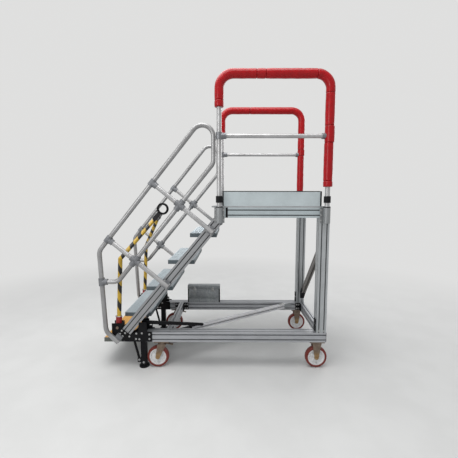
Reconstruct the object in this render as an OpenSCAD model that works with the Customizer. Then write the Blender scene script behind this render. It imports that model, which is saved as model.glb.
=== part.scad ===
// Mobile aircraft stairs: a wheeled maintenance stand with a stair flight and a fixed platform.
// Millimetres. +Z is up, +X points from the stair foot to the platform, +Y is the far side.
// The origin is on the floor, in the middle of the machine's length and width.

/* [Frame] */
// Overall length from the first nosing to the rear edge of the back wheels
total_l = 2096; // [2060:4:2120]
// Distance that the back wheels reach past the uprights
wheel_reach = 24; // [20:2:30]
// Outer width over the base rails
frame_w = 900; // [880:4:940]
// Width of the square slotted aluminium profile
profile_w = 90; // [80:5:90]
// Width of the light slotted profile
light_w = 45; // [40:5:45]
// Width of one slot in a profile face
slot_w = 10; // [6:1:12]
// Depth of one slot in a profile face
slot_d = 13; // [8:1:14]
// Height of the underside of the base rails above the floor
rail_z = 255; // [250:1:260]

/* [Platform] */
// Height of the walking surface
deck_z = 1500; // [1480:5:1520]
// Thickness of the platform floor
deck_t = 13; // [8:1:16]
// Height of the toe boards
toe_h = 130; // [100:10:160]
// Thickness of the toe boards
toe_t = 12; // [8:1:16]

/* [Stairs] */
// Number of risers from the floor to the platform
risers = 6; // [6:1:6]
// Horizontal distance from one nosing to the next
run = 206; // [200:2:210]
// Depth of one tread
tread_l = 245; // [230:5:250]
// Thickness of one tread
tread_t = 38; // [30:1:40]
// Distance from the line of the nosings to the middle of the stringers
nose_to_stringer = 125; // [120:1:130]

/* [Rails] */
// Outer diameter of the handrail tube
rail_d = 40; // [36:1:42]
// Bend radius of the handrail tube, at its centre line
rail_bend = 95; // [85:1:100]
// Distance of the handrails' middle plane from the frame's side
rail_out = 30; // [28:1:34]
// Outer diameter of the guardrail tube
guard_d = 42; // [40:1:48]
// Height of the guardrail's top tube above the walking surface
guard_h = 1095; // [1050:5:1110]
// Bend radius of the guardrail, at its centre line
guard_bend = 120; // [110:5:150]
// Distance of the guardrails' middle plane from the frame's side
guard_out = 48; // [44:1:52]
// Outer diameter of the foam sleeve on the guardrail
foam_d = 80; // [70:1:84]

/* [Running gear] */
// Diameter of the wheels
wheel_d = 200; // [190:2:200]
// Width of the tyres
tyre_w = 50; // [44:1:50]
// Distance from the swivel's axis to the wheel's axle
trail = 40; // [30:1:40]
// Stroke of the parking jacks
jack_stroke = 32; // [25:1:35]
// Side of the square jack leg
jack_w = 50; // [44:1:50]

/* [Tow bar] */
// Diameter of the tow bar's tube
tow_d = 38; // [34:1:40]
// Inner radius of the tow ring
tow_eye_r = 40; // [36:1:42]
// Height of the tow bar's knees above the floor
tow_knee_z = 1020; // [980:5:1060]
// Lean of the tow bar's upper part
tow_lean = 34; // [30:1:36]

/* [Hidden] */
$fn = 48;

x_front = -total_l / 2;
x_rear = total_l / 2 - wheel_reach;
side_y = frame_w / 2;
rail_y = side_y - profile_w / 2;
inner_y = side_y - profile_w;
rail_top = rail_z + profile_w;
upright_x = x_rear - profile_w / 2;
beam_z = deck_z - deck_t - profile_w;
beam_top = deck_z - deck_t;

// Stairs: the nosings lie on one line from the first tread to the platform's edge
rise = deck_z / risers;
stair_a = atan(rise / run);
deck_nose_x = x_front + (risers - 1) * run;
function nose_x(i) = x_front + (i - 1) * run;
function nose_z(i) = i * rise;
// A point t along the stringer's centre line and n above it, as [x, z]
stringer_o = [x_front + nose_to_stringer * sin(stair_a), rise - nose_to_stringer * cos(stair_a)];
function on_stringer(t, n = 0) =
    [stringer_o[0] + t * cos(stair_a) - n * sin(stair_a), stringer_o[1] + t * sin(stair_a) + n * cos(stair_a)];
stringer_t0 = 147;
stringer_t1 = 1540;
seam = 0.02;

// Handrail: corners of the tube's centre line as [x, z], from the foot round to the lower rail's end
HAND = [for (p = [[180, 262], [73, 368], [38, 1102], [1049, 2357], [1049, 1867], [195, 825], [78, 825]])
    [x_front + p[0], p[1]]];
// Place of a point [x, z] along the stringer, its height above it, and the height of a handrail
// segment i above the stringer at the place t
function along(p) = (p[0] - stringer_o[0]) * cos(stair_a) + (p[1] - stringer_o[1]) * sin(stair_a);
function above(p) = (p[1] - stringer_o[1]) * cos(stair_a) - (p[0] - stringer_o[0]) * sin(stair_a);
function rail_at(i, t) = above(HAND[i]) + (above(HAND[i + 1]) - above(HAND[i]))
    * (t - along(HAND[i])) / (along(HAND[i + 1]) - along(HAND[i]));
hand_y = side_y + rail_out;
// Struts: [place along the stringer, height of the lower rail's crossing, height of the upper rail]
STRUTS = [for (t = [816, 1448]) [t, rail_at(4, t), rail_at(2, t)]];

// Guardrail posts, at the front and the rear of the platform
front_post_x = deck_nose_x + 68;
rear_post_x = upright_x;
guard_y = side_y + guard_out;
guard_z = deck_z + guard_h;
post_z0 = deck_z - 148;
socket_h = 135;
knee_z = deck_z + 590;
foam_front_z = deck_z + 825;
foam_rear_z = deck_z + 165;
front_beam_x = front_post_x;
side_beam_x0 = front_beam_x + 74;
beam_plate = 9;

// Castors
castor_front_x = x_front + 563;
castor_rear_x = total_l / 2 - wheel_d / 2;
axle_z = wheel_d / 2;
plate_t = 10;
castor_plate_l = 135;
castor_plate_w = 88;
swivel_gap = 1.5;

// Parking jack and its lever
jack_x = x_front + 391;
lever_x = x_front + 396;
lever_z = 424;
lever_l = 540;
lever_drop = 20;
shaft_d = 16;
crank_l = 50;
rail_x0 = x_front + 424;

// Tow bar: its pivots between two cheeks, and its knees a little behind them
tow_x = x_front + 164;
tow_z = 388;
tow_knee_dx = 33;
tow_top_t = 460;
tow_ring_t = 75;
cheek_gap = 32;
cheek_t = 6;
tow_y = side_y - cheek_gap - cheek_t;

DARK = [0.05, 0.05, 0.055];
ALU = [0.70, 0.72, 0.74];

// Section of a slotted profile, w wide and h high, with slots every 45 mm in each face
module profile_section(w, h) {
    nw = round(w / light_w);
    nh = round(h / light_w);
    difference() {
        square([w, h], center = true);
        for (i = [0 : nw - 1], s = [-1, 1])
            translate([(i + 0.5) * w / nw - w / 2, s * (h / 2 - slot_d / 2 + 1)])
                square([slot_w, slot_d + 2], center = true);
        for (i = [0 : nh - 1], s = [-1, 1])
            translate([s * (w / 2 - slot_d / 2 + 1), (i + 0.5) * h / nh - h / 2])
                square([slot_d + 2, slot_w], center = true);
    }
}

// Slotted bars along each axis, with one end at the origin
module bar_x(l, w = profile_w, h = profile_w) rotate([90, 0, 90]) linear_extrude(l) profile_section(w, h);
module bar_y(l, w = profile_w, h = profile_w) rotate([-90, 0, 0]) linear_extrude(l) profile_section(w, h);
module bar_z(l, w = profile_w, h = profile_w) linear_extrude(l) profile_section(w, h);

// Draws its children once on each side, the far side mirrored
module both_sides() {
    children();
    mirror([0, 1, 0]) children();
}

// Takes a shape drawn in the XY plane to the upright XZ plane at y, thickness going from -t/2 to t/2
module in_plane(y) translate([0, y, 0]) rotate([90, 0, 0]) children();

// Plate with an XZ outline, from y0 to y1
module side_plate(y0, y1) translate([0, y1, 0]) rotate([90, 0, 0]) linear_extrude(y1 - y0) children();

// Angle of the way from a to b, and the length of that way, in the plane
function way(a, b) = atan2(b[1] - a[1], b[0] - a[0]);
function turn(a) = a > 180 ? a - 360 : a < -180 ? a + 360 : a;
function tangent(pts, i, r) =
    i == 0 || i == len(pts) - 1 ? 0 :
    r * tan(abs(turn(way(pts[i], pts[i + 1]) - way(pts[i - 1], pts[i]))) / 2);

// Round bar of radius rad along the corners pts in the XY plane, each corner bent to radius r; a low
// swage ring at both ends of each bend joins it to the straight lengths
swage_l = 5;
swage_h = 0.2;
module bent_bar(pts, rad, r) {
    for (i = [0 : len(pts) - 2]) {
        a = way(pts[i], pts[i + 1]);
        t0 = tangent(pts, i, r);
        t1 = tangent(pts, i + 1, r);
        l = norm(pts[i + 1] - pts[i]) - t0 - t1;
        translate([pts[i][0] + t0 * cos(a), pts[i][1] + t0 * sin(a), 0])
            rotate([0, 90, a]) cylinder(h = l, r = rad);
    }
    for (i = [1 : len(pts) - 2]) {
        a = way(pts[i - 1], pts[i]);
        d = turn(way(pts[i], pts[i + 1]) - a);
        t = tangent(pts, i, r);
        s = sign(d);
        translate([pts[i][0] - t * cos(a) - s * r * sin(a), pts[i][1] - t * sin(a) + s * r * cos(a), 0])
            rotate([0, 0, s > 0 ? a - 90 : a + 90 + d])
                rotate_extrude(angle = abs(d)) translate([r, 0]) circle(rad);
        for (e = [[-t, a], [t, a + d]])
            translate([pts[i][0] + e[0] * cos(e[1]), pts[i][1] + e[0] * sin(e[1]), 0]) rotate([0, 90, e[1]])
                translate([0, 0, -swage_l / 2]) cylinder(h = swage_l, r = rad + swage_h);
    }
}

// Straight round bar from a to b in the XY plane
module straight_bar(a, b, rad) {
    translate([a[0], a[1], 0]) rotate([0, 90, way(a, b)]) cylinder(h = norm(b - a), r = rad);
}

module base_rails() {
    color(ALU) both_sides()
        translate([rail_x0, -rail_y, rail_z + profile_w / 2]) bar_x(x_rear - rail_x0);
}

cross_x = x_front + 621;
module base_cross_beams() {
    color(ALU) {
        translate([cross_x, -inner_y, rail_z + profile_w / 2]) bar_y(2 * inner_y, light_w, profile_w);
        translate([x_rear - light_w / 2, -inner_y, rail_z + profile_w / 2])
            bar_y(2 * inner_y, light_w, profile_w);
    }
}

// The base brace lies flat between the rails; its ends stop short of them, in hinged brackets
brace_a = [x_front + 820, -312];
brace_b = [x_front + 1818, 312];
module base_brace() {
    color(ALU) translate([brace_a[0], brace_a[1], rail_top - light_w / 2])
        rotate([0, 0, way(brace_a, brace_b)]) bar_x(norm(brace_b - brace_a), light_w, light_w);
}

module uprights() {
    color(ALU) both_sides()
        translate([upright_x, -rail_y, rail_top]) bar_z(beam_top - rail_top);
}

// The rear brace stands between the uprights: [y, z] of its two ends
rear_a = [310, 500];
rear_b = [-310, 1130];
module rear_brace() {
    color(ALU) translate([x_rear - light_w / 2, rear_a[0], rear_a[1]])
        rotate([way([0, 0], [rear_b[0] - rear_a[0], rear_b[1] - rear_a[1]]) - 90, 0, 0])
            bar_z(norm(rear_b - rear_a), light_w, light_w);
}

module platform_beams() {
    z = beam_z + profile_w / 2;
    color(ALU) {
        both_sides() translate([side_beam_x0, -rail_y, z]) bar_x(upright_x - profile_w / 2 - side_beam_x0);
        translate([front_beam_x, -side_y, z]) bar_y(frame_w);
        translate([upright_x, -inner_y, z]) bar_y(2 * inner_y);
        both_sides() translate([front_beam_x + profile_w / 2, -side_y, beam_z])
            cube([beam_plate, profile_w, profile_w]);
        translate([(side_beam_x0 + upright_x) / 2, -inner_y, z]) bar_y(2 * inner_y, light_w, profile_w);
    }
}

// Floor of planks side by side, each with a shallow gap to the next
plank_n = 7;
module platform_floor() {
    w = (frame_w - 2 * toe_t) / plank_n;
    color([0.62, 0.64, 0.66]) difference() {
        translate([deck_nose_x, -side_y, beam_top]) cube([x_rear - deck_nose_x, frame_w, deck_t]);
        for (i = [1 : plank_n - 1])
            translate([deck_nose_x - 1, -side_y + toe_t + i * w - 1.5, deck_z - 4])
                cube([x_rear - deck_nose_x + 2, 3, 5]);
    }
}

toe_x0 = front_post_x + 38;
toe_x1 = upright_x - profile_w / 2 - 1;
module toe_boards() {
    color(ALU) both_sides() translate([toe_x0, -side_y, deck_z]) difference() {
        cube([toe_x1 - toe_x0, toe_t, toe_h]);
        translate([-1, toe_t - 4, 8]) cube([toe_x1 - toe_x0 + 2, 5, toe_h - 16]);
    }
}

module toe_board_ends() {
    color(DARK) both_sides() {
        translate([toe_x1, -side_y, deck_z]) cube([14, 30, toe_h]);
        translate([toe_x0 - 12, -side_y, deck_z]) cube([12, 22, toe_h]);
    }
}

// One stringer as a bar along the stair's slope, with square ends
module stringer(y) {
    p = on_stringer(stringer_t0);
    translate([p[0], y, p[1]]) rotate([0, -stair_a, 0]) bar_x(stringer_t1 - stringer_t0);
}

module stringers() color(ALU) both_sides() stringer(-rail_y);

// Cast triangle between the stringer's top end and the platform's front beam, open in the middle
module stringer_heads() {
    a = on_stringer(stringer_t1 + seam, profile_w / 2);
    b = on_stringer(stringer_t1 + seam, -profile_w / 2);
    x0 = front_beam_x - profile_w / 2;
    x1 = front_beam_x + profile_w / 2;
    w = 84;
    color([0.75, 0.76, 0.76]) both_sides()
        side_plate(-rail_y - w / 2, -rail_y + w / 2) difference() {
            polygon([a, b, [b[0] + 12, b[1] + 4], [x1, beam_z - 8], [x1, beam_z], [x0, beam_z]]);
            polygon([[x0 + 17, beam_z - 10], [b[0] + 2, b[1] + 19], [x1 - 13, beam_z - 10]]);
        }
}

// Hollow tread of planks with a serrated top and turned-down end plates
module tread(i, w = 2 * inner_y) {
    groove_n = 9;
    pitch = tread_l / (groove_n + 1);
    translate([nose_x(i), -w / 2, nose_z(i) - tread_t]) difference() {
        cube([tread_l, w, tread_t]);
        translate([4, 6, -1]) cube([tread_l - 8, w - 12, tread_t - 6]);
        for (k = [1 : groove_n])
            translate([k * pitch - 3, 8, tread_t - 2]) cube([6, w - 16, 3]);
    }
}

module treads() color([0.72, 0.75, 0.77]) for (i = [2 : risers - 1]) tread(i);
module first_tread() color([0.93, 0.66, 0.12]) tread(1, 2 * (inner_y - plate_k));

module handrail() in_plane(0) bent_bar(HAND, rail_d / 2, rail_bend);
module handrail_near() color([0.74, 0.75, 0.76]) translate([0, -hand_y, 0]) handrail();
module handrail_far() color([0.74, 0.75, 0.76]) translate([0, hand_y, 0]) handrail();

// One strut in its own plane: from the stringer up to the upper rail, cut free of both rails
module strut(s) {
    cut = rail_d / 2 + 4;
    in_plane(0) {
        straight_bar(on_stringer(s[0], -30), on_stringer(s[0], s[1] - cut), rail_d / 2);
        straight_bar(on_stringer(s[0], s[1] + cut), on_stringer(s[0], s[2] - cut), rail_d / 2);
    }
}

module handrail_struts() {
    color([0.74, 0.75, 0.76]) both_sides() translate([0, -hand_y, 0]) for (s = STRUTS) strut(s);
}

// Cast clamps: a sleeve along the rail and one along the strut, bored for both tubes
clamp_r = rail_d / 2 + 7;
module clamp_bodies(s) {
    in_plane(0) {
        straight_bar(on_stringer(s[0] - 52, s[1]), on_stringer(s[0] + 52, s[1]), clamp_r);
        straight_bar(on_stringer(s[0], s[1] - 46), on_stringer(s[0], s[1] + 46), clamp_r);
        straight_bar(on_stringer(s[0] - 30, s[2]), on_stringer(s[0] + 30, s[2]), clamp_r);
        straight_bar(on_stringer(s[0], s[2] - 50), on_stringer(s[0], s[2]), clamp_r);
    }
}

// Block that carries a tube's end on the frame's side: [x, z] of its middle, its length and width
module side_block(p, l, w) {
    translate([p[0], 0, p[1]]) rotate([0, -stair_a, 0])
        translate([-l / 2, 0, -w / 2]) cube([l, rail_out, w]);
}

module rail_clamps() {
    low = HAND[6];
    color([0.55, 0.56, 0.57]) both_sides() translate([0, -hand_y, 0]) difference() {
        union() {
            for (s = STRUTS) {
                clamp_bodies(s);
                side_block(on_stringer(s[0], -2), 64, 76);
            }
            in_plane(0) {
                straight_bar([low[0] - 25, low[1] - 34], [low[0] - 28, low[1] + 34], clamp_r);
                straight_bar([low[0] - 26, low[1]], [low[0] + 26, low[1]], clamp_r);
            }
            side_block([x_front + 176, 300], 62, 62);
        }
        translate([0, hand_y, 0]) side_plate(-side_y - plate_k, -side_y + 1) foot_plate_outline();
        handrail();
        for (s = STRUTS) strut(s);
    }
}

// Guardrail: an upturned U of tube, with its posts' feet in the sockets
GUARD = [[front_post_x, post_z0], [front_post_x, guard_z], [rear_post_x, guard_z], [rear_post_x, post_z0]];
module guardrail() in_plane(0) bent_bar(GUARD, guard_d / 2, guard_bend);
module guardrail_near() color([0.74, 0.75, 0.76]) translate([0, -guard_y, 0]) guardrail();
module guardrail_far() color([0.74, 0.75, 0.76]) translate([0, guard_y, 0]) guardrail();

// Knee rail with its cast clamps on the posts
module knee_rail() {
    difference() {
        in_plane(0) {
            straight_bar([front_post_x, knee_z], [rear_post_x, knee_z], 18);
            for (p = [[front_post_x, 1], [rear_post_x, -1]]) {
                straight_bar([p[0], knee_z - 28], [p[0], knee_z + 28], guard_d / 2 + 7);
                straight_bar([p[0], knee_z], [p[0] + p[1] * 62, knee_z], 25);
            }
        }
        guardrail();
    }
}
module knee_rails() color([0.70, 0.71, 0.72]) both_sides() translate([0, -guard_y, 0]) knee_rail();

FOAM = [[front_post_x, foam_front_z], [front_post_x, guard_z], [rear_post_x, guard_z], [rear_post_x, foam_rear_z]];
module foam_sleeve() {
    difference() {
        in_plane(0) bent_bar(FOAM, foam_d / 2, guard_bend);
        guardrail();
        knee_rail();
    }
}
module foam_sleeve_near() color([0.80, 0.07, 0.09]) translate([0, -guard_y, 0]) foam_sleeve();
module foam_sleeve_far() color([0.80, 0.07, 0.09]) translate([0, guard_y, 0]) foam_sleeve();

// Socket of each guardrail post: a bored round body with two bolted flanges
module post_sockets() {
    color(ALU) both_sides() for (x = [front_post_x, rear_post_x])
        translate([x, -guard_y, post_z0]) difference() {
            linear_extrude(socket_h) {
                circle(29);
                translate([-24, 0]) square([48, guard_out - 6]);
                translate([-profile_w / 2, guard_out - 9]) square([profile_w, 9]);
            }
            translate([0, 0, -1]) cylinder(h = socket_h + 2, r = guard_d / 2);
        }
}

module post_collars() {
    color(DARK) both_sides() for (x = [front_post_x, rear_post_x]) translate([x, -guard_y, 0]) difference() {
        union() {
            translate([0, 0, deck_z + 29]) cylinder(h = 57, r = 29);
            translate([0, 0, post_z0 + socket_h]) cylinder(h = 8, r = 30);
        }
        translate([0, 0, post_z0]) cylinder(h = 300, r = guard_d / 2);
    }
}

// Black steel plates that join rail, stringer and jack at each side's front corner
plate_k = 8;
module foot_plate_outline() {
    f = x_front;
    difference() {
        polygon([[f + 164, 318], on_stringer(232, 52), on_stringer(232, -48), [f + 336, 352], [f + 356, 352],
                 [f + 362, 440], [f + 430, 440], [f + 436, 352], [f + 480, 352], [f + 480, 260],
                 [f + 244, 260], [f + 198, 274]]);
        translate([lever_x, lever_z]) circle(shaft_d / 2 + 0.05);
    }
}
module foot_plates() {
    color(DARK) both_sides() {
        side_plate(-side_y - plate_k, -side_y) foot_plate_outline();
        side_plate(-inner_y, -inner_y + plate_k) {
            foot_plate_outline();
            translate([step_arm_x1, nose_z(1) - tread_t]) square([70, 60]);
        }
    }
}

// Flat bars that carry the first tread's ends, from the inner foot plates
step_arm_x1 = x_front + 166;
module step_arms() {
    color([0.60, 0.61, 0.62]) both_sides()
        side_plate(-inner_y, -inner_y + plate_k)
            translate([x_front, nose_z(1) - tread_t]) square([step_arm_x1 - x_front, tread_t]);
}

// Clevis of the tow bar: two cheeks joined by a web behind, on the stringer's upper face
tow_pin_r = 8;
tow_cheek_z = 428;
module tow_brackets() {
    color(DARK) both_sides() difference() {
        union() {
            for (s = [-1, 1]) translate([0, -tow_y + s * (cheek_gap + cheek_t / 2), 0])
                side_plate(-cheek_t / 2, cheek_t / 2) difference() {
                    polygon([[tow_x - 51, 326], [tow_x - 51, tow_cheek_z], [tow_x + 41, tow_cheek_z],
                             [tow_x + 41, 350], on_stringer(stringer_t0 + 4, 0), [tow_x - 34, 308]]);
                    translate([tow_x, tow_z]) circle(tow_pin_r);
                }
            translate([tow_x + 41 - cheek_t, -tow_y - cheek_gap - 1, 350])
                cube([cheek_t, 2 * cheek_gap + 2, tow_cheek_z - 350]);
        }
        side_plate(-side_y - 1, -inner_y + 1)
            polygon([on_stringer(100, profile_w / 2 + seam), on_stringer(400, profile_w / 2 + seam),
                     on_stringer(400, -profile_w), on_stringer(100, -profile_w)]);
    }
}

// Pins of the tow bar's hinge, with their heads outside the cheeks
module tow_pins() {
    l = cheek_gap + cheek_t;
    color([0.75, 0.68, 0.5]) both_sides() translate([tow_x, -tow_y, tow_z]) rotate([90, 0, 0]) {
        translate([0, 0, -l - 8]) cylinder(h = 2 * l + 8, r = tow_pin_r);
        for (z = [-l - 6, l]) translate([0, 0, z]) cylinder(h = 6, r = 13);
    }
}

// Steel angles in the corners of the base frame, and the hinged ends of the braces
angle_t = 8;
module angle_bracket(l, h) {
    cube([l, angle_t, h]);
    cube([angle_t, l, h]);
}

// Wedge from the rail's inner face at x0..x1 to a brace's end at p, whose way is a
module brace_shoe(x0, x1, p, a) {
    n = [-sin(a), cos(a)] * light_w / 2;
    translate([0, 0, rail_top - light_w]) linear_extrude(light_w)
        polygon([[x0, sign(p[1]) * inner_y], [x1, sign(p[1]) * inner_y], p + n, p - n]);
}

module corner_brackets() {
    a = way(brace_a, brace_b);
    r = way(rear_a, rear_b);
    color(DARK) {
        both_sides() for (m = [0, 1]) translate([cross_x, -inner_y, rail_z + 4]) mirror([m, 0, 0])
            translate([light_w / 2, 0, 0]) angle_bracket(56, 82);
        both_sides() translate([x_rear - light_w, -inner_y, rail_z + 4]) mirror([1, 0, 0]) angle_bracket(56, 82);
        brace_shoe(brace_a[0] - 10, brace_a[0] - 100, brace_a, a);
        brace_shoe(brace_b[0] + 100, brace_b[0] + 10, brace_b, a);
        for (e = [[rear_a, inner_y, -1], [rear_b, -inner_y, 1]])
            translate([x_rear - light_w, 0, 0]) rotate([90, 0, 90]) linear_extrude(light_w)
                polygon([[e[1], e[0][1] + e[2] * 10], [e[1], e[0][1] + e[2] * 100],
                         e[0] + [cos(r - 90), sin(r - 90)] * e[2] * light_w / 2,
                         e[0] - [cos(r - 90), sin(r - 90)] * e[2] * light_w / 2]);
        both_sides() for (z = [rail_top + 6, rail_top + 68]) translate([upright_x - profile_w / 2, -rail_y - 20, z])
            mirror([1, 0, 0]) cube([angle_t, 40, 50]);
    }
}

// Flat sheet-metal box that stands on the far rail
module tool_box() {
    color([0.50, 0.52, 0.53]) translate([x_front + 693, inner_y + 4, rail_top]) cube([381, 80, 200]);
}

// Black end plates between the platform's front beam and its side beams
module profile_caps() {
    x0 = front_beam_x + profile_w / 2 + beam_plate;
    color(DARK) both_sides()
        translate([x0, -side_y, beam_z]) cube([side_beam_x0 - x0, profile_w, profile_w]);
}

// Fixed top plates of the castors, bolted under the rails
module castor_plates() {
    color([0.72, 0.62, 0.42]) both_sides() for (x = [castor_front_x, castor_rear_x])
        translate([x - castor_plate_l / 2, -rail_y - castor_plate_w / 2, rail_z - plate_t])
            cube([castor_plate_l, castor_plate_w, plate_t]);
}

// Fork cheek outline: wide at the head, round at the axle
module cheek(head_w, head_z, off) {
    hull() {
        translate([0, axle_z]) circle(19);
        translate([off - head_w / 2, head_z - 6]) square([head_w, 6]);
    }
}

fork_in = tyre_w / 2 + 6;
fork_t = 5;
// Fork with its axle bolt; the axle is at the local origin's x, the head is off beside it
module fork(head_w, head_z, off) {
    for (s = [-1, 1]) side_plate(s > 0 ? fork_in : -fork_in - fork_t, s > 0 ? fork_in + fork_t : -fork_in)
        difference() {
            cheek(head_w, head_z, off);
            translate([0, axle_z]) circle(8);
        }
    translate([off - head_w / 2, -fork_in - fork_t, head_z - 6]) cube([head_w, 2 * (fork_in + fork_t), 6]);
    translate([0, fork_in + fork_t + 9, axle_z]) rotate([90, 0, 0])
        cylinder(h = 2 * (fork_in + fork_t + 9), r = 8);
    for (s = [-1, 1]) translate([0, s * (fork_in + fork_t) + (s > 0 ? 6 : 0), axle_z]) rotate([90, 0, 0])
        cylinder(h = 6, r = 13, $fn = 6);
}

module rear_forks() {
    color([0.78, 0.62, 0.34]) both_sides() translate([castor_rear_x, -rail_y, 0])
        fork(84, rail_z - plate_t, 0);
}

swivel_head_z = rail_z - plate_t - 18;
module swivel_fork() {
    translate([-trail, 0, 0]) fork(78, swivel_head_z, trail);
    translate([0, 0, swivel_head_z]) cylinder(h = 18 - swivel_gap, r = 36);
    translate([34, -12, swivel_head_z - 6]) rotate([0, 12, 0]) cube([66, 24, 7]);
}
module swivel_fork_near() color([0.78, 0.62, 0.34]) translate([castor_front_x, -rail_y, 0]) swivel_fork();
module swivel_fork_far() color([0.78, 0.62, 0.34]) translate([castor_front_x, rail_y, 0]) swivel_fork();

// Tyre and hub, turned about the axle
hub_r = 78;
bore_r = 8.05;
module tyre(x, y) {
    r = wheel_d / 2;
    color([0.62, 0.14, 0.06]) translate([x, y, axle_z]) rotate([90, 0, 0]) rotate_extrude() polygon([
        [hub_r, -tyre_w / 2 + 2], [r - 8, -tyre_w / 2], [r - 2, -tyre_w / 2 + 7], [r, -8],
        [r, 8], [r - 2, tyre_w / 2 - 7], [r - 8, tyre_w / 2], [hub_r, tyre_w / 2 - 2]]);
}
module hub(x, y) {
    color([0.92, 0.92, 0.90]) translate([x, y, axle_z]) rotate([90, 0, 0]) rotate_extrude() polygon([
        [bore_r, -28], [22, -28], [26, -14], [60, -10], [68, -21], [hub_r, -21],
        [hub_r, 21], [68, 21], [60, 10], [26, 14], [22, 28], [bore_r, 28]]);
}
front_wheel_x = castor_front_x - trail;
module tyre_front_near() tyre(front_wheel_x, -rail_y);
module tyre_front_far() tyre(front_wheel_x, rail_y);
module tyre_rear_near() tyre(castor_rear_x, -rail_y);
module tyre_rear_far() tyre(castor_rear_x, rail_y);
module hub_front_near() hub(front_wheel_x, -rail_y);
module hub_front_far() hub(front_wheel_x, rail_y);
module hub_rear_near() hub(castor_rear_x, -rail_y);
module hub_rear_far() hub(castor_rear_x, rail_y);

// Tow bar: two legs up to the knees, then leaning in to the ring's holder
function tow_at(t) = [tow_x + tow_knee_dx + t * sin(tow_lean), tow_knee_z + t * cos(tow_lean)];
tow_leg_a = atan(tow_knee_dx / (tow_knee_z - tow_z));

// Round rod between two points in space
module rod(a, b, r) {
    d = b - a;
    translate(a) rotate([0, acos(d[2] / norm(d)), atan2(d[1], d[0])]) cylinder(h = norm(d), r = r);
}

// Upper part of the near leg
module tow_upper() {
    knee = tow_at(0);
    top = tow_at(tow_top_t);
    rod([knee[0], -tow_y, knee[1]], [top[0], -18, top[1]], tow_d / 2);
}

module tow_bar() {
    knee = tow_at(0);
    color([0.93, 0.70, 0.10]) both_sides() difference() {
        union() {
            rod([tow_x, -tow_y, tow_z], [knee[0], -tow_y, knee[1]], tow_d / 2);
            translate([knee[0], -tow_y, knee[1]]) sphere(tow_d / 2 + 3 * swage_h);
            tow_upper();
            translate([tow_x, -tow_y + 26, tow_z]) rotate([90, 0, 0]) cylinder(h = 52, r = 22);
        }
        translate([tow_x, -tow_y + 40, tow_z]) rotate([90, 0, 0]) cylinder(h = 80, r = tow_pin_r + 0.05);
    }
}

// Tow ring with chamfered edges, its neck, and the holder that clasps the tops of both legs
module tow_ring() {
    top = tow_at(tow_top_t);
    r = tow_eye_r;
    color(DARK) difference() {
        translate([top[0], 0, top[1]]) rotate([0, tow_lean, 0]) {
            translate([0, 0, tow_ring_t]) rotate([90, 0, 0]) rotate_extrude() polygon([
                [r, -11], [r + 17, -11], [r + 21, -7], [r + 21, 7], [r + 17, 11], [r, 11]]);
            translate([-9, -14, 0]) cube([18, 28, tow_ring_t - r - 6]);
            translate([-21.5, 0, 0]) rotate([90, 0, 90]) linear_extrude(43)
                polygon([[-34, 24], [34, 24], [92, -50], [-92, -50]]);
        }
        both_sides() tow_upper();
    }
}

module tow_caps() {
    color([0.75, 0.08, 0.09]) both_sides() translate([tow_x, -tow_y, tow_z]) rotate([0, tow_leg_a, 0])
        translate([0, 0, 24]) difference() {
            cylinder(h = 69, r = 27);
            translate([0, 0, -1]) cylinder(h = 72, r = tow_d / 2);
        }
}

// Jack leg: square tube with a foot disc, its side link, and the slotted yoke that the crank lifts
crank_a = -45;
jack_top = lever_z - 56;
function crank_tip() = [lever_x + crank_l * cos(crank_a), lever_z + crank_l * sin(crank_a)];
module jack_leg() {
    p = crank_tip();
    translate([jack_x - jack_w / 2, -jack_w / 2, 14]) cube([jack_w, jack_w, jack_top - 14]);
    translate([jack_x, 0, 0]) cylinder(h = 14, r = 46);
    translate([jack_x - 62, -9, 40]) cube([62, 18, 40]);
    in_plane(0) straight_bar([jack_x - 45, 62], [jack_x - 93, 258], 11);
    side_plate(jack_w / 2, jack_w / 2 + 8) difference() {
        polygon([[jack_x - jack_w / 2, 300], [jack_x + jack_w / 2 - 2, 300], [jack_x + jack_w / 2 - 2, 352],
                 [p[0] + 36, 352], [p[0] + 36, p[1] + 19], [lever_x + 16, p[1] + 19], [lever_x + 16, jack_top],
                 [jack_x - jack_w / 2, jack_top]]);
        translate([p[0] - 12, p[1] - 7]) square([40, 14]);
    }
}
module jack_leg_near() color(DARK) translate([0, -rail_y, 0]) jack_leg();
module jack_leg_far() color(DARK) mirror([0, 1, 0]) translate([0, -rail_y, 0]) jack_leg();

// Lever with the cross shaft that turns both jacks' cranks
module jack_lever() {
    p = crank_tip();
    color(DARK) {
        translate([lever_x, side_y + 14, lever_z]) rotate([90, 0, 0])
            cylinder(h = 2 * side_y + 28, r = shaft_d / 2);
        side_plate(-rail_y - 7, -rail_y + 7) hull() {
            translate([lever_x, lever_z]) circle(16, $fn = 32);
            translate([lever_x + lever_l, lever_z - lever_drop]) circle(12, $fn = 32);
        }
        both_sides() {
            side_plate(-rail_y + 8, -rail_y + 18) {
                translate([lever_x, lever_z]) circle(14);
                translate([lever_x, lever_z]) rotate(crank_a) translate([0, -8]) square([crank_l, 16]);
                translate(p) circle(10);
            }
            translate([p[0], -rail_y + 34, p[1]]) rotate([90, 0, 0]) cylinder(h = 20, r = 5);
        }
    }
}

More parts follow.
